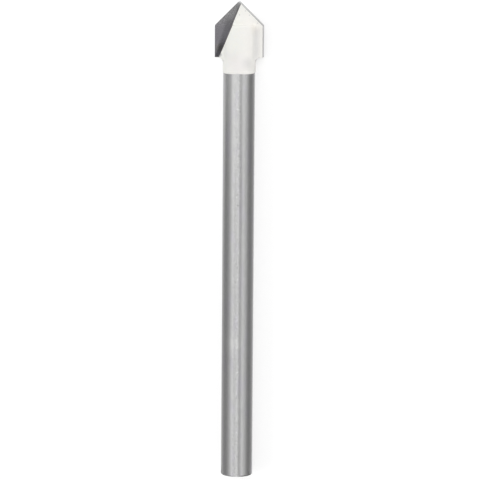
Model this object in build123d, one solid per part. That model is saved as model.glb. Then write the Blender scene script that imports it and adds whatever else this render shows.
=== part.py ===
from build123d import *
import math
import os

# A tile drill bit: a round steel shank, slotted at one end for a flat spear-point plate of
# tungsten carbide. The plate is brazed in, the head is coated, and then the point is ground.
# Lengths are in millimetres and angles in degrees. The bit lies on its side: its axis is
# the Y axis, its plain end is at the origin and it points towards +Y. Every piece is shaped
# with the plate level, and is then rolled about the axis as the bit comes to rest on a floor:
# on its neck and plain end, with the cutting edge of the +X wing touching too.
# It looks the same again after half a turn about its axis.

# Round steel rod
shank_diameter = 6.35
overall_length = 95.25      # plain end to chisel edge
edge_break = 0.25           # chamfer round the plain end
jaw_setback = 4.8           # chisel edge to the ends of the two jaws beside the slot

# Carbide plate
head_diameter = 9.75        # across the two cutting corners
plate_thickness = 2.0
plate_length = 11.0         # chisel edge to the foot of the wings
point_angle = 90.0
corner_radius = 0.5         # on the cutting corners

# Grinding
point_clearance = 9.5       # behind the cutting lips
side_relief = 9.0           # behind the wing sides
gash_angle = 22.3           # between the gash and the axis
gash_start = 1.3            # chisel edge to where the gash crosses the axis
gash_depth = 0.12           # below the flat of the plate
gash_root = 0.3             # radius along the foot of the gash wall

# Braze metal
braze_gap = 0.08            # film on the walls and floor of the slot
wing_fillet = 1.4           # hollow fillet between wing and rod
web_hollow = 1.2            # radius of the hollow fillet under each wing
jaw_bank = 0.5              # hollow bank on the end of each jaw

# White coat
coat_thickness = 0.1
coat_skirt = 3.2            # foot of the wings to the lower edge of the coat
coat_taper = 0.4            # length over which it thins out to that edge
coat_edge = 0.035           # thickness at that edge
coat_round = 0.2            # on the coat round the jaw ends

shank_radius = shank_diameter / 2
half_head = head_diameter / 2
half_plate = plate_thickness / 2
lip_height = half_plate - gash_depth
jaw_y = overall_length - jaw_setback
foot_y = overall_length - plate_length
coat_y = foot_y - coat_skirt

# The roll takes the wing's cutting edge down to the level of the coat under the neck.
coat_radius = shank_radius + coat_thickness
edge_radius = math.hypot(half_head, lip_height)
edge_angle = math.atan2(lip_height, half_head)
rest_roll = math.degrees(math.asin(coat_radius / edge_radius) - edge_angle)

# Blanks stand well past the ground faces, and cutters reach well past the blanks.
blank_reach = head_diameter
blank_end = overall_length + blank_reach
cutter_reach = 2 * blank_reach


def across(y):
    """The plane square to the axis at y, facing the point."""
    return Plane(origin=(0, y, 0), x_dir=(1, 0, 0), z_dir=(0, 1, 0))


def rod(radius, start, end):
    """A round bar along the axis."""
    bar = Cylinder(radius, end - start, align=(Align.CENTER, Align.CENTER, Align.MIN))
    return across(start) * bar


def block(half_width, half_thickness, start, end):
    """A level block along the axis."""
    sides = (Align.CENTER, Align.MIN, Align.CENTER)
    return Pos(0, start, 0) * Box(2 * half_width, end - start, 2 * half_thickness, align=sides)


def half_turn(part):
    """The same part on the other side of the bit."""
    return part.rotate(Axis.Y, 180)


def head_section(grow):
    """Rod and plate in section, with hollow braze fillets in the four corners between them."""
    section = Circle(shank_radius) + Rectangle(2 * blank_reach, plate_thickness)
    corners = [v for v in section.vertices() if abs(v.X) < shank_radius]
    section = fillet(corners, wing_fillet)
    if grow:
        section = offset(section, grow)
    return section


def section_bar(grow, start, end):
    """The head section carried along the axis."""
    return extrude(across(start) * head_section(grow), end - start)


def webs(grow):
    """The hollow fillet under each wing, turned about the axis and kept to the head section."""
    outline = Rectangle(shank_radius + web_hollow, web_hollow, align=(Align.MIN, Align.MAX))
    outline -= Pos(shank_radius + web_hollow, -web_hollow) * Circle(web_hollow - grow)
    disc = revolve(Plane.XY * Pos(0, foot_y) * outline, Axis.Y)
    return disc & section_bar(grow, foot_y - web_hollow, foot_y)


def jaw_banks(grow):
    """Hollow banks between the jaw ends and the flats of the plate."""
    reach = half_plate + jaw_bank
    outline = Rectangle(jaw_bank, 2 * reach, align=(Align.MIN, Align.CENTER))
    for side in (1, -1):
        outline -= Pos(jaw_bank, side * reach) * Circle(jaw_bank - grow)
    bar = extrude(Plane.YZ * Pos(jaw_y, 0) * outline, blank_reach, both=True)
    return bar & section_bar(grow, jaw_y, jaw_y + jaw_bank)


def head_form(grow):
    """The brazed head before grinding, with every face moved out by grow."""
    neck = rod(shank_radius + grow, coat_y, foot_y)
    jaws = section_bar(grow, foot_y - grow, jaw_y + grow)
    if grow:
        jaws = fillet(jaws.edges().group_by(Axis.Y)[-1], coat_round)
    plate = block(blank_reach, half_plate + grow, foot_y - grow, blank_end)
    return neck + jaws + webs(grow) + jaw_banks(grow) + plate


def half_space(point, normal):
    """Everything on the far side of a plane, for twice the reach of a cutter."""
    align = (Align.CENTER, Align.CENTER, Align.MIN)
    beyond = Box(4 * cutter_reach, 4 * cutter_reach, 2 * cutter_reach, align=align)
    return Plane(origin=point, z_dir=normal) * beyond


def ground_away():
    """What the grinding of the point and the sides takes off the head.

    Each lip is ground with its leading edge lip_height from the axis, on the face that meets
    the work first, so the planes lean back from that edge across the thickness of the plate.
    """
    angle = math.radians(point_angle / 2)
    lean = math.tan(math.radians(point_clearance))
    side_lean = math.tan(math.radians(side_relief))
    apex_y = overall_length + lip_height * lean / math.sin(angle)
    corner_y = apex_y - half_head / math.tan(angle)
    lip = half_space((0, apex_y, -lip_height), (math.cos(angle), math.sin(angle), lean))
    side = half_space((half_head, corner_y, -lip_height), (1, 0, side_lean))

    rough = block(cutter_reach, cutter_reach, foot_y - cutter_reach, blank_end)
    form = rough - lip - side - half_turn(lip) - half_turn(side)
    corners = []
    for turn in (1, -1):
        corner = (turn * half_head, corner_y, -turn * lip_height)
        corners.append(form.edges().sort_by_distance(corner)[0])
    return rough - fillet(corners, corner_radius)


def gash():
    """The grinding wheel's path that bares one rake face: a level floor and an upright wall."""
    angle = math.radians(gash_angle)
    along = Plane(
        origin=(0, overall_length - gash_start, 0),
        x_dir=(-math.cos(angle), math.sin(angle), 0),
        z_dir=(math.sin(angle), math.cos(angle), 0),
    )
    wheel = Rectangle(cutter_reach, cutter_reach, align=(Align.MIN, Align.MIN))
    root = wheel.vertices().sort_by_distance((0, 0, 0))[0]
    wheel = Pos(0, lip_height) * fillet(root, gash_root)
    return extrude(along * wheel, 2 * cutter_reach, both=True)


def grind(part):
    """Grinds the sides and point, then both gashes."""
    return part - ground_away() - gash() - half_turn(gash())


def slotted_rod():
    """The rod with its plain end chamfered and its other end slotted for the plate."""
    bar = rod(shank_radius, 0, jaw_y)
    bar = chamfer(bar.edges().sort_by(Axis.Y)[0], edge_break)
    return bar - block(blank_reach, half_plate + braze_gap, foot_y - braze_gap, blank_end)


def plate_blank():
    """The carbide plate as it is brazed in, wider and longer than the finished one."""
    return block(blank_reach, half_plate, foot_y, blank_end)


def make_steel_shank():
    return grind(slotted_rod())


def make_carbide_tip():
    return grind(plate_blank())


def make_braze_filler():
    """What is left of the brazed head once the rod and the plate are taken out of it."""
    return grind(head_form(0) - slotted_rod() - plate_blank())


def make_white_coat():
    """A skin over the brazed head, which thins out to its lower edge on the shank."""
    taper = Cone(
        shank_radius + coat_edge,
        coat_radius,
        coat_taper,
        align=(Align.CENTER, Align.CENTER, Align.MIN),
    )
    thinned = rod(coat_radius, coat_y, coat_y + coat_taper) - across(coat_y) * taper
    return grind(head_form(coat_thickness) - head_form(0) - thinned)


os.makedirs("parts", exist_ok=True)
for name, make in (
    ("steel_shank", make_steel_shank),
    ("carbide_tip", make_carbide_tip),
    ("braze_filler", make_braze_filler),
    ("white_coat", make_white_coat),
):
    export_step(make().rotate(Axis.Y, rest_roll), f"parts/{name}.step")
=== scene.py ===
# %% [markdown]
# # A drill bit for tile and glass
# This notebook dresses a finished CAD model of a drill bit. The CAD model is loaded first and
# stays where it is, as a frame that every new piece is measured from. A frame like this can be
# dressed by painting the CAD parts alone, or by building finer surfaces round them. Here the
# round shank and the soft white coat are built again as smooth surfaces, because a CAD export
# gives them flat facets. The sharp carbide plate and the hair lines of braze keep their CAD
# meshes and are painted only.

# %% Load the frame
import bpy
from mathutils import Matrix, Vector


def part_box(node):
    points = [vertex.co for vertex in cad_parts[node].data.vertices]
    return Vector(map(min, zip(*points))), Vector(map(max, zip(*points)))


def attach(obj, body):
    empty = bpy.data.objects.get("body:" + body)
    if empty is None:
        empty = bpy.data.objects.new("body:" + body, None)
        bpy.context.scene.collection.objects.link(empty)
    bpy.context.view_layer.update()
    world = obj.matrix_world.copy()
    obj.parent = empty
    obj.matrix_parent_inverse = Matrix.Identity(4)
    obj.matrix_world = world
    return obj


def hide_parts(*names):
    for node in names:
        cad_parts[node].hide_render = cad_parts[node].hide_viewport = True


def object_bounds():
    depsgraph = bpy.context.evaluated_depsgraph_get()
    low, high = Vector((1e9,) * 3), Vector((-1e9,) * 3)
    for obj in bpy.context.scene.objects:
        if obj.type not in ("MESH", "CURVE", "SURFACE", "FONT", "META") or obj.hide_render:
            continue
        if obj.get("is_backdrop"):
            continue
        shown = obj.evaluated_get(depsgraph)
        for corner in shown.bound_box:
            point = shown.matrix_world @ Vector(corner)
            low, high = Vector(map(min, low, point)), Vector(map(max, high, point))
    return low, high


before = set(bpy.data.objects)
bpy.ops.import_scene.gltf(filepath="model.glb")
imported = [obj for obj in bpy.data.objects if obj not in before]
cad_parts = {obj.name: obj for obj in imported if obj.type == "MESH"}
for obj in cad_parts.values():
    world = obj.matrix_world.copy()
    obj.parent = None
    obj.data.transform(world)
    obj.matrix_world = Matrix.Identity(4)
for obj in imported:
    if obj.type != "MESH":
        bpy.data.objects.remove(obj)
print("CAD nodes:", ", ".join(sorted(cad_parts)))

# %% Tools and the CAD box
import math

import bpy
import numpy as np
from mathutils import Matrix, Vector

cad_low, cad_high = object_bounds()
print("CAD box in mm:", [round(1000 * v, 2) for v in (*cad_low, *cad_high)])

# %% [markdown]
# ## Sizes
# What the CAD model can tell is read from its boxes and meshes, such as where the shank ends
# and how thick the coat is. Small sizes that these don't show, such as the hollow of a fillet
# or the lean of a ground face, are written here once, in metres.

# %% Sizes
mm = 0.001


def node_points(node):
    """The corners of a CAD node's mesh, one row each."""
    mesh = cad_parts[node].data
    points = np.zeros(3 * len(mesh.vertices))
    mesh.vertices.foreach_get("co", points)
    return points.reshape(-1, 3)


def distance_from_axis(points):
    """How far each point is from the Y axis."""
    return np.hypot(points[:, 0], points[:, 2])


jaw_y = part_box("steel_shank")[1].y
foot_y, tip_y = (corner.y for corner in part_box("carbide_tip"))
coat_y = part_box("white_coat")[0].y
shank_radius = distance_from_axis(node_points("steel_shank")).max()
neck_points = node_points("white_coat")
neck_points = neck_points[neck_points[:, 1] < coat_y + 1 * mm]
coat_thickness = distance_from_axis(neck_points).max() - shank_radius

edge_break = 0.25 * mm
half_head = 4.875 * mm
half_plate = 1.0 * mm
lip_height = 0.88 * mm
point_half_angle = math.radians(45)
point_clearance = math.radians(9.5)
side_relief = math.radians(9)
corner_radius = 0.5 * mm
gash_angle = math.radians(22.3)
gash_start = 1.3 * mm
gash_root = 0.3 * mm
braze_gap = 0.08 * mm
wing_fillet = 1.4 * mm
web_hollow = 1.2 * mm
jaw_bank = 0.5 * mm
coat_taper = 0.3 * mm
coat_edge = 0.035 * mm
coat_round = 0.42 * mm
foot_round = 0.08 * mm
print("shank radius", round(shank_radius / mm, 3), "coat", round(coat_thickness / mm, 3))

# %% [markdown]
# ## The level frame
# The bit lies on the floor, rolled about its axis until one wing touches. Its shape is easier
# to write with the carbide plate level, so every surface is worked out level and then rolled.
# The angle could be typed in, but the normal of the plate's largest face shows it, and so the
# scene still fits when the CAD model changes.

# %% Find the roll of the plate
def plate_roll():
    """The turn about Y that takes +Z to the normal of the plate's largest face."""
    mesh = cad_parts["carbide_tip"].data
    areas = np.zeros(len(mesh.polygons))
    normals = np.zeros(3 * len(mesh.polygons))
    mesh.polygons.foreach_get("area", areas)
    mesh.polygons.foreach_get("normal", normals)
    widest = normals.reshape(-1, 3)[areas.argmax()]
    upward = widest if widest[2] > 0 else -widest
    return math.atan2(upward[0], upward[2])


def lay_down(points):
    """Points of the level frame, rolled about the Y axis to where the bit lies."""
    turn = np.array(Matrix.Rotation(roll, 3, "Y"))
    return np.asarray(points, float) @ turn.T


roll = plate_roll()
plate_normal = Vector(lay_down((0, 0, 1)))
wing_way = Vector(lay_down((1, 0, 0)))
axis_way = Vector((0, 1, 0))
print("the plate is rolled", round(math.degrees(roll), 2), "degrees")

# %% [markdown]
# ## Camera
# The picture shows the bit almost square on to its plate, from a little towards the point, with
# a long lens. A camera could be placed by eye, but two marks fix this view: how far the line of
# the shank leans in the picture, and how much narrower its far end looks, which gives the
# distance. It looks down on the bit as it lies, and the bit points up in the picture.

# %% Placing helpers
def put_object(name, data):
    """A new object in the scene, which holds this data."""
    made = bpy.data.objects.new(name, data)
    bpy.context.scene.collection.objects.link(made)
    return made


def standing(place, across, up, back):
    """The matrix of an object at a place whose x, y and z axes point these ways."""
    return Matrix.Translation(place) @ Matrix((across, up, back)).transposed().to_4x4()


print("cameras and lamps look along their own minus z axis")

# %% Camera
photo_side = 480
focal_length_in_pixels = 2397
camera_distance = 480 * mm
camera_tilt = math.radians(6.65)
camera_lean = math.radians(0.39)
aim_along = 47.69 * mm
aim_across = 0.38 * mm
aim = axis_way * aim_along + wing_way * aim_across

camera = put_object("camera", bpy.data.cameras.new("camera"))
bpy.context.scene.camera = camera
camera.data.sensor_width = 36       # so that the lens reads as on small film
camera.data.lens = camera.data.sensor_width * focal_length_in_pixels / photo_side
camera.data.clip_start = 0.01

back = plate_normal * math.cos(camera_tilt) + axis_way * math.sin(camera_tilt)
level_up = axis_way * math.cos(camera_tilt) - plate_normal * math.sin(camera_tilt)
right = wing_way * math.cos(camera_lean) + level_up * math.sin(camera_lean)
up = level_up * math.cos(camera_lean) - wing_way * math.sin(camera_lean)
camera.matrix_world = standing(aim + back * camera_distance, right, up, back)
print("camera at", [round(v, 3) for v in camera.matrix_world.translation])

# %% [markdown]
# ## Shader sums
# A procedural material is a graph of small nodes. By hand each sum takes three lines, so this
# class wraps a socket and lets Python's own operators add the Math nodes. Every other kind of
# node comes from one method, which takes the kind, the settings, and the values or wires of
# the sockets.

# %% Shader helper
class Wire:
    """A socket of a node tree that can stand in a sum, as in 1 - mask * 0.5."""

    def __init__(self, tree, socket=None):
        self.tree = tree
        self.socket = socket

    def node(self, kind, settings=None, inputs=None, output=0):
        """Adds any node: its type, its settings, and the values or wires of its sockets."""
        made = self.tree.nodes.new("ShaderNode" + kind)
        for name, value in (settings or {}).items():
            setattr(made, name, value)
        for name, value in (inputs or {}).items():
            if isinstance(value, Wire):
                self.tree.links.new(value.socket, made.inputs[name])
            else:
                made.inputs[name].default_value = value
        return Wire(self.tree, made.outputs[output] if len(made.outputs) else None)

    def sum(self, operation, *values):
        """A Math node on wires and numbers, in order."""
        return self.node("Math", {"operation": operation}, dict(enumerate(values)))

    def __add__(self, other):
        return self.sum("ADD", self, other)

    def __sub__(self, other):
        return self.sum("SUBTRACT", self, other)

    def __rsub__(self, other):
        return self.sum("SUBTRACT", other, self)

    def __mul__(self, other):
        return self.sum("MULTIPLY", self, other)

    def __abs__(self):
        return self.sum("ABSOLUTE", self)

    __radd__ = __add__
    __rmul__ = __mul__


def new_material(name):
    """An empty material and the wire that adds nodes to it."""
    material = bpy.data.materials.new(name)
    material.use_nodes = True
    material.node_tree.nodes.clear()
    return material, Wire(material.node_tree)


print("wires can stand in sums")

# %% [markdown]
# ## Floor and world
# A catalogue picture has a white ground. It could be had by pouring light on the floor, but that
# would burn out the white coat as well. Here the floor is a pale sheet, and rays that come
# straight from the camera, or by way of metal, see a little light added to it. So it reaches
# white and still keeps the shadow of the bit. The world is done in the same way.

# %% Floor and world
floor_reach = 3.0
floor_colour = (0.55, 0.55, 0.55, 1)
floor_glow = 0.6
world_light = 0.4


def seen_directly(graph):
    """1 for rays that come from the camera, from gloss or through glass, and 0 for the rest."""
    paths = graph.node("LightPath").socket.node
    camera_ray, glossy, through = (
        Wire(graph.tree, paths.outputs[f"Is {kind} Ray"])
        for kind in ("Camera", "Glossy", "Transmission")
    )
    return graph.sum("MAXIMUM", graph.sum("MAXIMUM", camera_ray, glossy), through)


def make_floor():
    """A square sheet under the bit, at the height of its lowest point."""
    mesh = bpy.data.meshes.new("floor")
    signs = [(-1, -1), (1, -1), (1, 1), (-1, 1)]
    corners = [(x * floor_reach, y * floor_reach, cad_low.z) for x, y in signs]
    mesh.from_pydata(corners, [], [range(4)])
    put_object("floor", mesh)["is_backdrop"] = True
    material, graph = new_material("pale_floor")
    glow = seen_directly(graph) * floor_glow
    glow = graph.node("CombineColor", None, {0: glow, 1: glow, 2: glow})
    inputs = {"Base Color": floor_colour, "Roughness": 0.9, "Specular IOR Level": 0.0}
    inputs.update({"Emission Color": glow, "Emission Strength": 1.0})
    surface = graph.node("BsdfPrincipled", None, inputs)
    graph.node("OutputMaterial", None, {"Surface": surface})
    mesh.materials.append(material)


def make_world():
    """White where it is seen directly, and a soft grey light for all other rays."""
    world = bpy.data.worlds.new("studio")
    bpy.context.scene.world = world
    world.use_nodes = True
    world.node_tree.nodes.clear()
    graph = Wire(world.node_tree)
    strength = seen_directly(graph) * (1 - world_light) + world_light
    background = graph.node("Background", None, {"Color": (1, 1, 1, 1), "Strength": strength})
    graph.node("OutputWorld", None, {"Surface": background})


make_floor()
make_world()
print("floor at", round(cad_low.z / mm, 3), "mm")

# %% [markdown]
# ## Softboxes
# The white coat is lit by four large rectangular lamps, which stand round the bit so that no
# edge of it falls dark. Small lamps would give hard shadows, and light from the world alone
# would leave it flat. Gloss doesn't see the lamps, so they can be set without a change to what
# the steel mirrors.

# %% Softboxes
lamp_distance = 0.6
bit_middle = Vector((0, tip_y / 2, 0))
lens_angle = 90 - math.degrees(roll)


def away_from_bit(round_angle, along_angle):
    """The direction at one angle round the bit and one along it, both counted from the lens.

    Angles round the bit grow to the right of the picture, and angles along it to the top.
    """
    height, along = math.radians(lens_angle - round_angle), math.radians(along_angle)
    flat = Vector((math.cos(height), 0, math.sin(height)))
    return flat * math.cos(along) + axis_way * math.sin(along)


def softbox(name, round_angle, along_angle, width, length, brightness):
    """A rectangular lamp that faces the middle of the bit.

    Its power is its brightness times pi times its area, so that a brightness of 1 is white.
    """
    away = away_from_bit(round_angle, along_angle)
    lamp = bpy.data.lights.new(name, "AREA")
    lamp.shape = "RECTANGLE"
    lamp.size, lamp.size_y = width, length
    lamp.energy = brightness * math.pi * width * length
    made = put_object(name, lamp)
    made.visible_glossy = False
    side = axis_way.cross(away).normalized()
    place = bit_middle + away * lamp_distance
    made.matrix_world = standing(place, side, away.cross(side), away)


softbox("softbox_left", -92, 0, 0.6, 0.9, 1.38)
softbox("softbox_right", 32, 0, 0.5, 0.9, 1.15)
softbox("softbox_point", 8, 50, 0.8, 0.6, 1.1)
softbox("softbox_end", -10, -60, 0.8, 0.6, 0.2)
print("the lens looks down at", round(lens_angle, 1), "degrees")

# %% [markdown]
# ## Flags
# A round steel bar mirrors nearly all that stands round it, so in a white room it looks flat.
# Photographers stand dark cards, called flags, beside it. Here one long flag on each side gives
# the dark bands near the edges of the shank, fainter ones by the lens draw the lines down its
# middle, and a last one on the floor darkens its chamfer. Each is worked out backwards: the
# wall mirrors what stands at twice its own angle from the lens, so the band that is wanted
# tells where its card has to be. Gloss alone sees the flags. They are black glass rather than
# card, which lets some light through, so that their edges fade as softly as the real bands.

# %% Flags
flag_steps = 32
flag_start = -600 * mm
flag_middle = 30 * mm
long_flag_z = cad_low.z + 0.1 * mm
end_flag_z = cad_low.z + 0.2 * mm


def mirrored_place(round_angle, distance):
    """The x and z of what the shank mirrors to the lens at one angle round the bit.

    The mirror is the shank's own wall, at half that angle. The place lies the given distance
    away from it, or just above the floor where the way there meets the floor first.
    """
    wall, onward = (
        np.array((math.cos(height), math.sin(height)))
        for height in np.radians((lens_angle - round_angle / 2, lens_angle - round_angle))
    )
    wall = wall * shank_radius
    if onward[1] < 0:
        distance = min(distance, (long_flag_z - wall[1]) / onward[1])
    return wall + onward * distance


def flag(name, rows, cover):
    """A card of see-through black glass that runs along the bit.

    rows are lines of points across the card, one after the other along the bit, and cover is
    the share of the light behind it that the glass takes away at each of them.
    """
    count = rows.shape[1]
    number = np.arange(rows.shape[0] * count).reshape(-1, count)
    quads = np.stack((number[:-1, :-1], number[:-1, 1:], number[1:, 1:], number[1:, :-1]), axis=-1)
    mesh = bpy.data.meshes.new(name)
    mesh.from_pydata(rows.reshape(-1, 3), [], quads.reshape(-1, 4).tolist())
    mesh.attributes.new("cover", "FLOAT", "POINT").data.foreach_set("value", cover.ravel())
    card = put_object(name, mesh)
    card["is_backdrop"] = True
    card.visible_camera = card.visible_diffuse = card.visible_shadow = False
    material, graph = new_material(name)
    taken = graph.node("Attribute", {"attribute_name": "cover"}, output=2)
    clear = graph.node("BsdfTransparent")
    black = graph.node("BsdfDiffuse", None, {"Color": (0, 0, 0, 1)})
    glass = graph.node("MixShader", None, {0: taken, 1: clear, 2: black})
    graph.node("OutputMaterial", None, {"Surface": glass})
    mesh.materials.append(material)


print("each flag is", flag_steps, "points across")

# %% Where the flags stand
def soft_cover(across, first, darkest, last, darkness):
    """How dark a card is at each place across it.

    It has its full darkness at one place, and is down to nothing at its first and last, along
    half a parabola on either side: darkness times 1 minus the square of the way to that edge.
    """
    edge = np.where((across < darkest) == (first < darkest), first, last)
    return darkness * (1 - ((across - darkest) / (edge - darkest)) ** 2)


def long_flag(name, distance, overhang, body, head):
    """A flag that darkens what the shank mirrors between two angles round the bit.

    body holds its first, darkest and last angle and its darkness, from far beyond the plain
    end to the middle of the bit. head holds the same at its other end, which lies beyond the
    coat's edge by overhang times the distance, or short of it where that is less than 0.
    """
    rows, covers = [], []
    for y, numbers in ((flag_start, body), (flag_middle, body), (coat_y, head)):
        angles = np.linspace(numbers[0], numbers[2], flag_steps)
        places = np.array([mirrored_place(angle, distance) for angle in angles])
        beyond = overhang * np.hypot(*places.T) * (y == coat_y)
        rows.append(np.column_stack((places[:, 0], y + beyond, places[:, 1])))
        covers.append(soft_cover(angles, *numbers))
    flag(name, np.array(rows), np.array(covers))


def floor_flag(name, darkness, x_range, y_range):
    """A flag that lies on the floor, in a layer above the feet of the long ones."""
    x, y = np.meshgrid(np.linspace(*x_range, flag_steps), y_range)
    rows = np.stack((x, y, np.full(x.shape, end_flag_z)), axis=-1)
    flag(name, rows, soft_cover(x, x_range[0], np.mean(x_range), x_range[1], darkness))


print("cover across a card:", soft_cover(np.arange(5), 0, 2, 4, 0.4))

# %% The six flags
left_card = (-38, -93, -186, 0.7)
left_by_head = (-47, -79, -260, 0.47)
camera_card = (-38, -20, -1, 0.19)
lens_card = (1.5, 16.7, 31.7, 0.47)
lens_by_head = (-5, 10.2, 25.2, 0.46)
beside_lens_card = (21, 40, 55, 0.18)
right_card = (42, 92, 165, 0.745)
long_flag("flag_left", 0.3, 0.1, left_card, left_by_head)
long_flag("flag_camera", 0.4, -0.065, camera_card, camera_card)
long_flag("flag_lens", 0.45, 0.15, lens_card, lens_by_head)
long_flag("flag_beside_lens", 0.4, 0.15, beside_lens_card, beside_lens_card)
long_flag("flag_right", 0.3, 0.1, right_card, right_card)
floor_flag("flag_end", 1.0, (-14 * mm, 9 * mm), (-16 * mm, -0.8 * mm))
print("darkest at", left_card[1] / 2, "and", right_card[1] / 2, "degrees round the shank")

# %% [markdown]
# ## Mesh helpers
# Each new surface is worked out as whole numpy arrays and put into a mesh at once. A surface
# that runs round the bit is a grid: its rows go along the bit and its columns go round it.

# %% Mesh helpers
sharp_angle = math.radians(25)


def put_mesh(name, points, faces):
    """A new object with these level points, laid down, and these faces."""
    mesh = bpy.data.meshes.new(name)
    mesh.from_pydata(lay_down(points), [], faces)
    mesh.update()
    return put_object(name, mesh)


def ring_faces(rows, columns, closed=False):
    """Quads between neighbouring rings, facing outwards where the rings run towards +Y."""
    number = np.arange(rows * columns).reshape(rows, columns)
    if closed:
        number = np.vstack((number, number[:1]))
    beside = np.roll(number, -1, axis=1)
    quads = np.stack((number[:-1], number[1:], beside[1:], beside[:-1]), axis=-1)
    return quads.reshape(-1, 4).tolist()


def prism(name, low_outline, high_outline):
    """A solid between two outlines, which run anticlockwise seen from the high one."""
    count = len(low_outline)
    low = np.arange(count)
    beside = np.roll(low, -1)
    sides = np.stack((low, beside, beside + count, low + count), axis=-1).tolist()
    ends = [low[::-1].tolist(), (low + count).tolist()]
    return put_mesh(name, np.vstack((low_outline, high_outline)), sides + ends)


def carve(piece, cutters):
    """Takes the cutters out of a piece for good, and shades it smooth up to its edges."""
    for cutter in cutters:
        cut = piece.modifiers.new(cutter.name, "BOOLEAN")
        cut.operation = "DIFFERENCE"
        cut.solver = "MANIFOLD"
        cut.object = cutter
    bpy.context.view_layer.update()
    finished = piece.evaluated_get(bpy.context.evaluated_depsgraph_get())
    carved = bpy.data.meshes.new_from_object(finished)
    piece.modifiers.clear()
    piece.data = carved
    carved.name = piece.name
    carved.shade_smooth()
    carved.set_sharp_from_angle(angle=sharp_angle)
    return piece


print("two rings of 8 points make", len(ring_faces(2, 8)), "quads")

# %% [markdown]
# ## What the grinding takes away
# The point was ground after brazing and coating, so one set of cuts goes through the coat, the
# braze, the steel and the carbide alike. A wheel takes each lip and side back at a slight lean,
# with a small round between them, and another wheel cuts a flat gash that bares the carbide.
# Each cut is a solid that is later subtracted. Its outlines follow the ground planes at two
# heights, and straight lines between them give the lean.

# %% Grinding cutters
far = 12 * mm                # so that each cutter reaches right through
arc_steps = 9


def half_turned(points):
    """The same points on the other side of the bit."""
    return points * np.array((-1, 1, -1))


def flank_outline(height):
    """Where the side and lip planes pass at one height, closed round the outside.

    Both planes pass through the cutting edge at minus lip_height and move inwards by the
    tangent of their lean as the height grows. An arc of half a right angle joins them.
    """
    rise = height + lip_height
    side_x = half_head - rise * math.tan(side_relief)
    apex_y = tip_y + lip_height * math.tan(point_clearance) / math.sin(point_half_angle)
    lip_shift = rise * math.tan(point_clearance) / math.sin(point_half_angle)
    slope = 1 / math.tan(point_half_angle)

    def lip_y(x):
        return apex_y - lip_shift - x * slope

    turn = np.linspace(0, point_half_angle, arc_steps)
    corner = np.array((side_x, lip_y(side_x)))
    centre = corner - corner_radius * np.array((1, math.tan(point_half_angle / 2)))
    arc = centre + corner_radius * np.stack((np.cos(turn), np.sin(turn)), axis=-1)
    outside = ((far, foot_y - far), (far, lip_y(-far)), (-far, lip_y(-far)))
    outline = np.vstack((outside, arc[::-1], (side_x, foot_y - far)))
    return np.column_stack((outline, np.full(len(outline), height)))


def gash_outline(reach):
    """The section of the gash wheel's path, at a distance along the foot of its wall.

    The floor is level at lip_height and the wall is upright, with a quarter circle between.
    """
    turn = np.linspace(math.pi, 1.5 * math.pi, arc_steps)
    arc = gash_root * np.stack((1 + np.cos(turn), 1 + np.sin(turn)), axis=-1)
    flat = np.vstack(((far, 0), (far, far), (0, far), arc))
    outwards = np.array((-math.cos(gash_angle), math.sin(gash_angle), 0))
    along = np.array((math.sin(gash_angle), math.cos(gash_angle), 0))
    start = np.array((0, tip_y - gash_start, lip_height))
    return start + np.outer(flat[:, 0], outwards) + np.outer(flat[:, 1], (0, 0, 1)) + reach * along


flank = (flank_outline(-far), flank_outline(far))
gash = (gash_outline(-2 * far), gash_outline(2 * far))
cutters = []
for name, (low, high) in (("flank", flank), ("gash", gash)):
    cutters.append(prism(name + "_right", low, high))
    cutters.append(prism(name + "_left", half_turned(low), half_turned(high)))
print(len(cutters), "cutters")

# %% [markdown]
# ## Steel shank
# The shank is a rod cut off a long ground bar. Its end is faced and its edge is broken by a
# small chamfer. A surface of revolution is the natural way to make it: one profile in distance
# along the bit and radius, turned through many steps. The edges of the chamfer are rounded by
# a few hundredths, because no real edge is perfectly sharp and a rounded one catches light.

# %% Profiles with rounded corners
def soften(profile, radius, steps=5):
    """A polyline whose inner corners become short curves.

    Each corner is replaced by a quadratic curve between two points that lie radius before
    and after it, with the corner itself as the curve's control point.
    """
    profile = np.asarray(profile, float)
    before, corner, after = profile[:-2], profile[1:-1], profile[2:]
    toward = (before - corner) / np.linalg.norm(before - corner, axis=1)[:, None]
    onward = (after - corner) / np.linalg.norm(after - corner, axis=1)[:, None]
    t = np.linspace(0, 1, steps)[None, :, None]
    start, end = (corner + radius * toward)[:, None], (corner + radius * onward)[:, None]
    curve = start * (1 - t) ** 2 + 2 * corner[:, None] * t * (1 - t) + end * t**2
    return np.vstack((profile[:1], curve.reshape(-1, 2), profile[-1:]))


print("a corner becomes", len(soften(((0, 0), (1, 0), (1, 1)), 0.1)) - 2, "points")

# %% Shank
shank_columns = 192
edge_softness = 0.07 * mm
end_hub = 0.3 * mm           # the flat disc in the middle of each end


def make_shank():
    """The turned rod: x is radius times cosine and z is radius times sine, at each y."""
    plain_end = ((0, end_hub), (0, shank_radius - edge_break), (edge_break, shank_radius))
    jaw_end = ((jaw_y, shank_radius), (jaw_y, end_hub))
    profile = soften(plain_end + jaw_end, edge_softness)
    y, radius = profile[:, :1], profile[:, 1:]
    angle = np.linspace(0, 2 * math.pi, shank_columns, endpoint=False)
    rings = np.stack((radius * np.cos(angle), y + 0 * angle, radius * np.sin(angle)), axis=-1)
    count = rings.shape[0] * shank_columns
    first = list(range(shank_columns))
    last = list(range(count - shank_columns, count))[::-1]
    faces = ring_faces(rings.shape[0], shank_columns) + [first, last]
    return put_mesh("shank", rings.reshape(-1, 3), faces)


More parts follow.
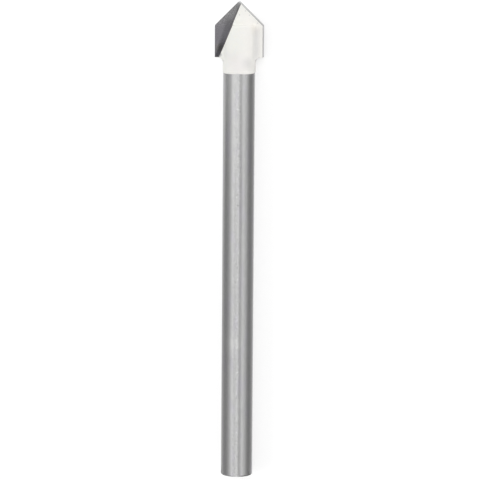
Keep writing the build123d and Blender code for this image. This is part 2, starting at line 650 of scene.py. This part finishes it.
def slot_cutter():
    """The slot that takes the plate and its film of braze."""
    half = half_plate + braze_gap
    low = np.array([(-far, -half), (far, -half), (far, half), (-far, half)])
    outline = np.column_stack((low[:, 0], np.full(4, foot_y - braze_gap), -low[:, 1]))
    return prism("slot", outline, outline + np.array((0, far, 0)) * 2)


slot = slot_cutter()
shank = carve(make_shank(), [slot, *cutters])
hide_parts("steel_shank")
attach(shank, "root")
print("shank:", len(shank.data.polygons), "faces")

# %% [markdown]
# ## White coat
# The head was sprayed white, so the coat is a skin that follows the rod, the plate and the
# hollow braze fillets between them, and softens every edge. Seen from the axis, each point of
# that skin is at one distance for its angle and its place along the bit, so the whole coat is
# one function of two parameters. It is worked out twice, once at the metal and once a tenth of
# a millimetre further out, and the two are joined into a closed shell before the grinding.

# %% Radius of the head's section
coat_columns = 480
blank_half_width = 6.2 * mm
blank_end = tip_y + 2 * mm
around = np.linspace(0, 2 * math.pi, coat_columns, endpoint=False) + math.pi / coat_columns
sine, cosine = np.abs(np.sin(around)), np.abs(np.cos(around))


def plate_radius(grow):
    """Distance to a flat bar: the less of half thickness over sine and half width over cosine."""
    return np.minimum((half_plate + grow) / sine, blank_half_width / cosine)


def section_radius(grow):
    """Distance to the rod and plate, with a hollow arc where they meet.

    The arc's centre is wing_fillet above the flat and as far outside the rod. Along a ray,
    the near side of that circle is at b minus the root of b squared minus c.
    """
    lift = half_plate + wing_fillet
    reach = math.sqrt((shank_radius + wing_fillet) ** 2 - lift**2)
    hollow = wing_fillet - grow
    b = cosine * reach + sine * lift
    c = reach**2 + lift**2 - hollow**2
    arc = b - np.sqrt(np.maximum(b**2 - c, 0))
    angle = np.arctan2(sine, cosine)
    on_flat = angle < math.atan2(half_plate + grow, reach)
    on_arc = angle < math.atan2(lift, reach)
    return np.where(on_flat, plate_radius(grow), np.where(on_arc, arc, shank_radius + grow))


print("widest", round(section_radius(coat_thickness).max() / mm, 2), "mm from the axis")

# %% [markdown]
# ### Along the head
# The section is carried along the bit as a stack of rings, one array of radii for each place.
# Under the wings the radius follows a hollow arc, at the wing's foot it steps out, it keeps to
# the section up to the ends of the jaws, and past them another hollow arc takes it down to
# the plate. Rings set closer together where the surface turns keep the mesh light elsewhere.

# %% Rows of the coat along the bit
web_steps = 12
round_steps = 6
bank_steps = 8
step_rows = 3


def blend(start, end, steps):
    """Evenly spaced rows from one ring of radii to another."""
    t = np.linspace(0, 1, steps)[:, None]
    return start * (1 - t) + end * t


def head_rows(grow, soft, corner):
    """Places and radii of the head's rings, from the neck to the blank end of the plate.

    soft is the round on the feet of the wings and corner the round on the ends of the jaws.
    """
    section, plate = section_radius(grow), plate_radius(grow)
    foot = foot_y - grow
    hollow = web_hollow - grow
    turn = np.linspace(0, math.pi / 2, web_steps)[:, None]
    under = np.minimum(section, shank_radius + web_hollow - hollow * np.cos(turn))
    web = under[-1]
    rows = [(foot - hollow * (1 - np.sin(turn)), under)]
    rows.append((foot, blend(web, section - np.minimum(soft, section - web), step_rows)))
    turn = np.linspace(0, math.pi / 2, round_steps)[:, None]
    if soft:
        shrink = np.minimum(soft, section - web)
        rows.append((foot + soft * (1 - np.cos(turn)), section - shrink * (1 - np.sin(turn))))
    top = jaw_y + grow
    ledge = np.minimum(section, (half_plate + jaw_bank) / sine)
    rows.append((top - corner, section[None]))
    if corner:
        rounded = np.maximum(ledge, section - corner * (1 - np.cos(turn)))
        rows.append((top - corner * (1 - np.sin(turn)), rounded))
    rows.append((top, blend(np.maximum(ledge, section - corner), ledge, step_rows)))
    hollow = jaw_bank - grow
    turn = np.linspace(0, math.pi / 2, bank_steps)[:, None]
    lift = half_plate + jaw_bank - hollow * np.sin(turn)
    rows.append((jaw_y + jaw_bank - hollow * np.cos(turn), np.minimum(section, lift / sine)))
    rows.append((blank_end, plate[None]))
    places = [np.broadcast_to(np.reshape(y, (-1, 1)), (len(r), 1)) for y, r in rows]
    return np.vstack(places), np.vstack([r for _, r in rows])


print(len(head_rows(coat_thickness, foot_round, coat_round)[0]), "rings up the head")

# %% [markdown]
# ### The lower edge
# Sprayed paint that was masked ends in a soft bead, which swells a little and never runs quite
# straight. It could be drawn as bump, but its outline would stay straight, so here its rings
# are shifted along the bit by waves of different lengths.

# %% Lower edge of the coat
bead_steps = 14
bead_length = 0.9 * mm
bead_waist = 0.018 * mm
side_rise = 0.2 * mm
edge_drop = 0.055 * mm
edge_wave = 0.035 * mm
wave_counts = (3, 5, 9)


def lower_edge():
    """Places and radii of the rings at the coat's lower edge, a rounded and wavy bead.

    With t from 0 to 1, the thickness grows from that of the edge along a quarter sine, which
    is complete at the end of the taper, and falls by the waist along one arch of a sine after
    it. The whole edge is shifted along the bit: back by the drop, forwards by the side rise
    times the sixth power of the cosine of the angle round it, and by the mean of three sines,
    each with its own count of waves. The shift fades with 1 - t.
    """
    t = np.linspace(0, 1, bead_steps)[:, None]
    rise = np.sin(np.minimum(t * bead_length / coat_taper, 1) * math.pi / 2)
    after = np.maximum(t * bead_length - coat_taper, 0) / (bead_length - coat_taper)
    swell = coat_edge + (coat_thickness - coat_edge) * rise - bead_waist * np.sin(after * math.pi)
    wave = np.mean([np.sin(count * around + count**2) for count in wave_counts], axis=0)
    shift = side_rise * np.cos(around) ** 6 - edge_drop + edge_wave * wave
    return coat_y + bead_length * t + shift * (1 - t), shank_radius + swell


print("the edge wanders by", round(np.ptp(lower_edge()[0][0]) / mm, 2), "mm")

# %% Coat
def make_coat():
    """The shell between the metal and the outside of the coat, closed at both ends."""
    edge = lower_edge()
    outer = head_rows(coat_thickness, foot_round, coat_round)
    inner = [rows[::-1] for rows in head_rows(0.0, 0.0, 0.0)]
    end = (edge[0][:1], np.array([[shank_radius]]))
    y, radius = (
        np.vstack([np.broadcast_to(ring, (len(ring), coat_columns)) for ring in rows])
        for rows in zip(edge, outer, inner, end)
    )
    points = np.stack((radius * np.cos(around), y, radius * np.sin(around)), axis=-1)
    return put_mesh("coat", points.reshape(-1, 3), ring_faces(len(y), coat_columns, closed=True))


coat = carve(make_coat(), cutters)
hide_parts("white_coat")
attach(coat, "root")
for cutter in (slot, *cutters):
    bpy.data.objects.remove(cutter)
print("coat:", len(coat.data.polygons), "faces")

# %% [markdown]
# ## Patterns in millimetres
# A procedural pattern needs a ruler. Object coordinates give one, because every piece sits at
# the origin and unturned: the place of a point is its real place on the bit. One Mapping node
# makes it millimetres and turns it back to the level frame, so that all four finishes can be
# written with the plate level, as the surfaces were. Noise stretched one way gives grinding
# lines, noise cut off at a level gives specks, and a soft ball gives a smudge.

# %% Pattern helpers
coat_line, foot_line, jaw_line, tip_line = (y / mm for y in (coat_y, foot_y, jaw_y, tip_y))


def level_place(graph):
    """The place on the bit, in millimetres and in the level frame."""
    place = graph.node("TexCoord", output=3)
    scale = (1 / mm, 1 / mm, 1 / mm)
    return graph.node("Mapping", None, {"Vector": place, "Rotation": (0, -roll, 0), "Scale": scale})


def split(place):
    """The x, y and z of a place."""
    made = place.node("SeparateXYZ", None, {0: place}).socket.node
    return [Wire(place.tree, socket) for socket in made.outputs]


def joined(x, y, z):
    """The place with this x, y and z."""
    return x.node("CombineXYZ", None, {"X": x, "Y": y, "Z": z})


def noise(place, size, stretch=(1, 1, 1), detail=2.0):
    """Noise of about -1 to 1, whose lumps are size wide times the stretch on each axis."""
    scale = tuple(1 / (size * s) for s in stretch)
    scaled = place.node("VectorMath", {"operation": "MULTIPLY"}, {0: place, 1: scale})
    return (place.node("TexNoise", None, {"Vector": scaled, "Detail": detail}) - 0.5) * 4


def fade(value, start, end):
    """0 before start, 1 after end and smooth between them; it runs down where end is lower."""
    low, high, first, last = (start, end, 0.0, 1.0) if start < end else (end, start, 1.0, 0.0)
    settings = {"interpolation_type": "SMOOTHSTEP"}
    return value.node("MapRange", settings, {0: value, 1: low, 2: high, 3: first, 4: last})


def near(value, middle, reach, whole=0.0):
    """1 where a value is within whole of the middle, and 0 where it is further than reach."""
    return fade(abs(value - middle), reach, whole)


def spot(place, centre, radius):
    """A soft ball: 1 at its centre and 0 from its radius on."""
    away = place.node("VectorMath", {"operation": "DISTANCE"}, {0: place, 1: centre}, output=1)
    return fade(away, radius, 0.0)


print("the wings start", round(foot_line, 2), "mm up the bit")

# %% [markdown]
# ## Colours and the closing shader
# Math nodes turn a colour grey, so colours are mixed by a Mix node and dimmed by a Vector Math
# node. All four finishes end alike: one Principled shader, with height going in as bump.

# %% Colour helpers
def mixed(factor, first, second):
    """A colour between two others."""
    return factor.node("Mix", {"data_type": "RGBA"}, {0: factor, 6: first, 7: second}, output=2)


def shaded(colour, value):
    """A colour times a number."""
    return colour.node("VectorMath", {"operation": "SCALE"}, {0: colour, 3: value})


def finish(material, colour, roughness, height, metallic):
    """The material with its closing shader, where the height is in millimetres."""
    graph = Wire(material.node_tree)
    bump = graph.node("Bump", None, {"Height": height, "Distance": mm})
    inputs = {"Base Color": colour, "Roughness": roughness, "Metallic": metallic, "Normal": bump}
    surface = graph.node("BsdfPrincipled", None, inputs)
    graph.node("OutputMaterial", None, {"Surface": surface})
    print(material.name, "has", len(graph.tree.nodes), "nodes")
    return material


print("colours can be mixed and dimmed")

# %% [markdown]
# ## Ground steel
# The shank is bright bar, drawn and ground, so it mirrors the studio, and some strips along it
# are a little brighter than others. A metal's base colour is the colour of its mirror image, so
# streaks in it look like real bright strips. The finest marks are too small for colour, and are
# bump. The faced end has rings, and the ground cuts at the head have lines along the gash.
#
# Handling has left marks too. Light and dark flecks gather in clusters near one line along the
# shank, and a patch towards its plain end is rubbed pale. Two noises cut off at a level make
# the flecks, and a third decides where they gather.

# %% Marks on the steel
fleck_line = -0.25           # x of the line along the bit where the flecks are densest
light_size, light_cut = 0.6, (0.1, 0.5)
dark_size, dark_cut = 0.52, (0.15, 0.5)
cluster_size, cluster_cut = 1.9, (-0.1, 0.4)
ring_pitch = 0.11


def steel_flecks(place, x):
    """Light flecks less dark ones over a fine grain, strong in clusters near their line."""
    clusters = noise(place, cluster_size, (1, 1.2, 1), detail=1.0)
    strong = near(x, fleck_line, 1.2, 0.1) * fade(clusters, *cluster_cut)
    light = fade(noise(place, light_size, (1, 1.6, 1), detail=0.0), *light_cut)
    dark = fade(noise(place, dark_size, (1, 1.4, 1), detail=0.0), *dark_cut)
    grain = noise(place, 0.4, (1, 2, 1), detail=1.0)
    return (light - dark) * (0.025 + 0.18 * strong) + grain * (0.04 + 0.06 * strong)


def facing_rings(x, z):
    """The rings that facing left on the plain end: a sine of the distance from the axis."""
    across = joined(x, 0.0, z)
    radius = across.node("VectorMath", {"operation": "LENGTH"}, {0: across}, output=1)
    return radius.sum("SINE", radius * (2 * math.pi / ring_pitch))


print("flecks up to", light_size, "mm wide, rings every", ring_pitch, "mm")

# %% Ground steel
steel_grey = 0.63
neutral = (1.0, 1.0, 0.995, 1)
lilac = (0.99, 0.975, 1.02, 1)
streak_width = 0.32
streak_length = 24.0
rubbed_spot = ((-0.9, 27.3, 3.0), 2.3)       # place and radius, as for all spots


def ground_steel():
    """Grey with streaks, patches, glints and marks; streaks, rings and fine lines as bump."""
    material, graph = new_material("ground_steel")
    place = level_place(graph)
    x, y, z = split(place)
    end_face = fade(y, 0.02, 0.005)
    head = fade(y, coat_line, coat_line + 1)
    streaks = noise(place, streak_width, (1, streak_length / streak_width, 1), detail=3.0)
    patches = noise(place, 2.2, (1, 4, 1))
    glints = fade(noise(place, 0.14, (1, 5, 1), detail=0.0), 1.15, 1.5)
    rubbed = spot(place, *rubbed_spot) * (0.08 + 0.04 * streaks)
    grey = steel_grey + 0.034 * streaks + 0.03 * patches + 0.12 * glints - 0.1 * end_face
    grey = grey + (steel_flecks(place, x) + rubbed) * (1 - end_face)
    tint = mixed(fade(noise(place, 7.0, (1, 3, 1)), -0.2, 0.9), neutral, lilac)
    roughness = 0.2 + 0.02 * noise(place, 0.8, (1, 6, 1)) + 0.12 * end_face + 0.06 * head
    rings = facing_rings(x, z) * end_face
    grinding = noise(place, 0.05, (1, 12, 12)) * head
    turning = noise(place, 0.03, (30, 1, 30), detail=1.0) * (1 - end_face) * (1 - head)
    height = 0.0007 * streaks + 0.001 * rings + 0.0008 * grinding + 0.00008 * turning
    return finish(material, shaded(tint, grey), roughness, height, 1.0)


steel = ground_steel()

# %% [markdown]
# ## Sprayed white
# The coat is sprayed, so it is matt and faintly uneven, like the skin of an orange. One white
# would look like plastic, so it has clouds of nearly equal ones, a little rosier to the right
# and on the neck where it is handled. Soft masks lead from one to the next, as real paint has
# no edges between its tints.

# %% Tints of the coat
cool_white = (0.893, 0.9, 0.865, 1)
warm_white = (0.905, 0.9, 0.845, 1)
rosy_white = (0.91, 0.89, 0.855, 1)
handled_white = (0.91, 0.876, 0.866, 1)
# a painted warm shade where the hollow's shade begins, at the end of the jaw
jaw_end_shade = (0.9, 0.86, 0.79, 1)
handled_spot = ((-0.4, foot_line - 1.4, 3.2), 3.6)
jaw_end_shade_spot = ((3.0, jaw_line - 0.6, 1.6), 1.8)


def coat_tint(place, x, broad):
    """Cool, warm and rosy white clouds, rosier to the right, a handled spot and painted shade."""
    white = mixed(fade(noise(place, 3.4), -0.6, 0.6), cool_white, warm_white)
    white = mixed(fade(noise(place, 1.9), 0.2, 1.0), white, rosy_white)
    white = mixed(fade(x + 0.5 * broad, -1.2, 1.8) * 0.8, white, rosy_white)
    white = mixed(spot(place, *handled_spot) * 0.8, white, handled_white)
    # painted shade at the end of the jaw, beside the hollow
    return mixed(spot(place, *jaw_end_shade_spot) * 0.75, white, jaw_end_shade)


print("five whites, the darkest", jaw_end_shade[:3])

# %% [markdown]
# ### Dust, wear and painted shade
# The head was handled and ground after it was sprayed. There are grey specks of carbide dust on
# the point and a grey smudge on the neck, painted shade darkens the hollow beside the wing, and at
# the foot of the gash the paint has worn through. Each is a mask of its own, so that it can be
# made stronger or left out.

# %% Dust, wear and painted shade
# grey of the dust, and of the painted shade in the hollow beside each wing
dust_and_shade_grey = (0.5, 0.5, 0.51, 1)
worn_grey = (0.3, 0.3, 0.31, 1)
neck_smudge = ((1.7, foot_line - 1.2, 2.8), 1.9)
left_smudge = ((-2.6, foot_line + 0.4, 2.0), 1.4)
worn_spot = ((-4.0, foot_line + 0.5, 1.0), 1.1)
hollow_x = 3.3
speck_radius = 0.18
speck_places = ((0.0, 2.65), (1.14, 1.85), (1.94, 2.7), (3.54, 4.25))   # x, setback from the tip
coat_top = (half_plate + coat_thickness) / mm


def dust_specks(place):
    """Faint specks all over, and a stronger one at each named place."""
    specks = fade(noise(place, 0.16, detail=0.0), 1.25, 1.5) * 0.3
    for speck_x, setback in speck_places:
        centre = (speck_x, tip_line - setback, coat_top)
        specks = specks + 0.8 * spot(place, centre, speck_radius)
    return specks


def hollow_shade(x, y, z):
    """Painted shade in the hollow beside a wing, from its foot to the end of the jaw.

    x times the sign of z is the same for both wings, and is hollow_x in the hollow.
    """
    beside_wing = fade(y, foot_line - 1.5, foot_line + 0.5)
    beside_wing = beside_wing * fade(y, jaw_line + 0.3, jaw_line - 1.2)
    in_hollow = near(x * z.sum("SIGN", z), hollow_x, 1.1)
    return in_hollow * beside_wing * fade(abs(z), 2.6, 1.7)


def worn_through(place):
    """A ragged spot: a soft ball plus noise, cut off at a level."""
    ragged = spot(place, *worn_spot) + 0.3 * noise(place, 0.3) - 0.4
    return fade(ragged, 0.0, 0.5) * 0.8


print(len(speck_places), "specks of", speck_radius, "mm on the point")

# %% Sprayed white
# a painted highlight on the point, beside the gash wall
crescent_highlight_spot = ((-0.2, tip_line - 3.5, 1.1), 0.8)
dull_spot = ((-1.3, foot_line, 2.9), 2.6)
bead_line = (coat_y + coat_taper) / mm


def sprayed_white():
    """Tints, dust, wear and painted shade, lighter along the bead, with an orange skin as bump."""
    material, graph = new_material("sprayed_white")
    place = level_place(graph)
    x, y, z = split(place)
    broad = noise(place, 2.6)
    smudge = spot(place, *neck_smudge) + 0.25 * spot(place, *left_smudge)
    worn = worn_through(place)
    white = coat_tint(place, x, broad)
    white = mixed(smudge * (0.28 + 0.06 * noise(place, 0.5)), white, dust_and_shade_grey)
    # painted shade: the hollow between rod and wing is mixed towards grey
    white = mixed(hollow_shade(x, y, z) * 0.42, white, dust_and_shade_grey)
    white = mixed(dust_specks(place), white, dust_and_shade_grey)
    white = mixed(worn, white, worn_grey)
    bead = fade(y, bead_line + 0.3, bead_line)
    # painted light: the coat is made lighter along the jaw line, against the shade at the ledge
    ledge = near(y, jaw_line, 0.4)
    # drop: a painted highlight on the point, beside the gash wall
    drop = spot(place, *crescent_highlight_spot)
    dull = spot(place, *dull_spot)
    grey = 1 + 0.008 * broad + 0.006 * noise(place, 0.4)
    grey = grey + 0.025 * bead + 0.02 * ledge + 0.04 * drop - 0.038 * dull
    roughness = 0.46 + 0.05 * noise(place, 1.2) + 0.05 * smudge
    height = 0.0012 * noise(place, 0.22) + 0.006 * noise(place, 1.3) - 0.02 * worn
    return finish(material, shaded(white, grey), roughness, height, 0.0)


paint = sprayed_white()

# %% [markdown]
# ## Ground carbide
# Tungsten carbide is a dark, slightly bluish grey metal. Its two rake faces have a lighter field
# by the lip, mottled by tiny chips, which are dents in the bump and painted glints in the grey,
# and a band of painted shade along the gash wall, strongest at the foot of the wing and narrow
# by the tip. The clearance faces are freshly ground and much brighter. Both wings look alike after
# half a turn, so the pattern multiplies x by the sign of z and is then the same for either wing.

# %% Places on a wing
lip_line = lip_height / mm
wall_line = (tip_y - gash_start) / mm
chip_size, chip_cut = 0.5, (0.2, 0.5)
burnt_spot = (4.1, 1.9, 1.2)         # distance from the axis, height above the foot, radius
foot_glint = (3.9, 0.3, 0.5)
tip_glint = (0.0, tip_line - foot_line, 0.8)


def wing_coordinates(place):
    """A place with x times the sign of z, y, and the distance from the plate's middle."""
    x, y, z = split(place)
    return joined(x * z.sum("SIGN", z), y, abs(z))


def rake_spot(wing_place, from_axis, height, radius):
    """A soft spot on the rake, by its distance from the axis and its height on the wing."""
    return spot(wing_place, (-from_axis, foot_line + height, lip_line), radius)


print("the rake is", round(lip_line, 2), "mm from the middle of the plate")

# %% The worked rake
def wall_shade_band(from_wall, from_foot, mottle, burnt):
    """Painted shade by the gash wall, wider up the wing, strong at its foot and gone at its top."""
    band = fade(from_wall - 0.08 * from_foot + 0.16 * mottle, 1.2, 0.5)
    low = 0.45 + 0.55 * fade(from_foot + 0.5 * mottle, 4.4, 1.9)
    return band * (low * fade(from_foot, 8.0, 6.8) + 0.15 * burnt)


def worked_grey(wing_place, mottle, fine, chips, toward_tip, burnt):
    """The grey of a rake face, from its distances to the wall and the lip and its noises.

    A distance is the difference in y times the sine of the line's angle to the axis, with the
    difference in x times its cosine.
    """
    wing_x, y, _ = split(wing_place)
    from_wall = (y - wall_line) * math.sin(gash_angle) - wing_x * math.cos(gash_angle)
    from_lip = (tip_line - y + wing_x) * math.sin(point_half_angle)
    # painted shade along the root of the gash wall, towards the tip
    by_wall = fade(from_wall, 0.55, 0.25) * toward_tip
    by_lip = fade(from_lip, 1.2, 0.1)
    # painted shade along the gash wall, strongest at the foot of the wing
    band = wall_shade_band(from_wall, y - foot_line, mottle, burnt)
    uneven = (0.12 + 0.16 * toward_tip) * mottle + (0.24 + 0.22 * toward_tip) * fine
    worked = (0.232 + 0.018 * toward_tip) * (1 - 0.63 * band) * (1 + uneven)
    worked = worked * (1 - 0.32 * by_wall) * (0.97 - 0.1 * by_lip)
    # the chips are dents in the bump, and their brightness here is a painted glint, strongest by
    # the lip
    worked = worked + chips * (0.02 + 0.04 * toward_tip + 0.17 * by_lip)
    worked = worked + 0.25 * rake_spot(wing_place, *tip_glint)
    return worked + 0.05 * rake_spot(wing_place, *foot_glint)


print("chips up to", chip_size, "mm wide, densest by the lip")

# %% Ground carbide
clearance_grey = 0.37
clearance_tint = (1.0, 1.0, 0.99, 1)
carbide_tint = (1.0, 0.972, 1.055, 1)
dusty_tint = (1.0, 0.995, 0.985, 1)
burnt_tint = (1.02, 0.985, 0.97, 1)
corner_spot = ((4.4, foot_line + 6.5, 0.3), 2.0)


def ground_carbide():
    """Clearance faces bright; rake faces from lip_line up with chips, stain and painted shade."""
    material, graph = new_material("ground_carbide")
    place = level_place(graph)
    wing_place = wing_coordinates(place)
    _, y, depth = split(wing_place)
    mottle = noise(place, 0.9)
    fine = noise(place, 0.4, detail=3.0)
    chips = fade(noise(place, chip_size, detail=0.0), *chip_cut)
    lines = noise(place, 0.06, (8, 8, 1), detail=1.0)
    rake = fade(depth, lip_line - 0.05, lip_line - 0.02)
    toward_tip = fade(y - foot_line + 1.5 * mottle, 4.5, 9.0)
    burnt = rake_spot(wing_place, *burnt_spot)
    worked = worked_grey(wing_place, mottle, fine, chips, toward_tip, burnt)
    corner = spot(wing_place, *corner_spot)
    ground = (clearance_grey + 0.04 * lines + 0.03 * mottle) * (1 - 0.2 * corner)
    grey = ground * (1 - rake) + worked * rake
    tint = mixed(toward_tip * 0.8, carbide_tint, dusty_tint)
    tint = mixed(rake, clearance_tint, mixed(burnt, tint, burnt_tint))
    roughness = 0.27 + (0.1 + 0.05 * fine) * rake + 0.02 * lines
    height = (0.0016 * fine - 0.004 * chips) * rake + 0.0006 * lines * (1 - rake)
    return finish(material, shaded(tint, grey), roughness, height, 1.0)


carbide = ground_carbide()

# %% [markdown]
# ## Silver braze
# Braze shows only as hair lines where the grinding cut through it: along the wall of the gash,
# beside the lips and on the jaws. It is a warm silver, a little duller than the steel. Lines so
# thin need no marks of their own, so it is clouds of two silvers and nothing more.

# %% Silver braze
braze_bright = (0.74, 0.7, 0.61, 1)
braze_dull = (0.55, 0.5, 0.42, 1)


def silver_braze():
    """Clouds of a dull and a bright silver, rougher where they are bright."""
    material, graph = new_material("silver_braze")
    place = level_place(graph)
    cloud = noise(place, 0.4, detail=3.0)
    colour = mixed(fade(cloud, -0.8, 0.8), braze_dull, braze_bright)
    return finish(material, colour, 0.3 + 0.06 * cloud, 0.001 * noise(place, 0.1), 1.0)


braze = silver_braze()

# %% [markdown]
# ## Dressing the pieces
# A new piece gets its finish on its mesh. The plate and the braze are CAD nodes, whose meshes
# are left alone, so their finish goes into the material slot of the object instead.

# %% Dress the pieces
for piece, material in ((shank, steel), (coat, paint)):
    piece.data.materials.clear()
    piece.data.materials.append(material)
    print(piece.name, "is", material.name)
for node, material in (("carbide_tip", carbide), ("braze_filler", braze)):
    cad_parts[node].material_slots[0].material = material
    print(node, "is", material.name)

# %% [markdown]
# ## Picture settings
# The Standard view keeps every colour as it was written. A filmic view would grey the white
# ground and the coat, and the picture would no longer show how bright the coat really is.

# %% Picture settings
bpy.context.scene.view_settings.view_transform = "Standard"
print("view:", bpy.context.scene.view_settings.view_transform)

# %% [markdown]
# ## The visual box
# The dressed bit has to be as big as the CAD model. Its box is printed here in the same form as
# the CAD box at the start.

# %% Sizes against the CAD box
low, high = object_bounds()
print("visual box in mm:", [round(v / mm, 3) for v in (*low, *high)])
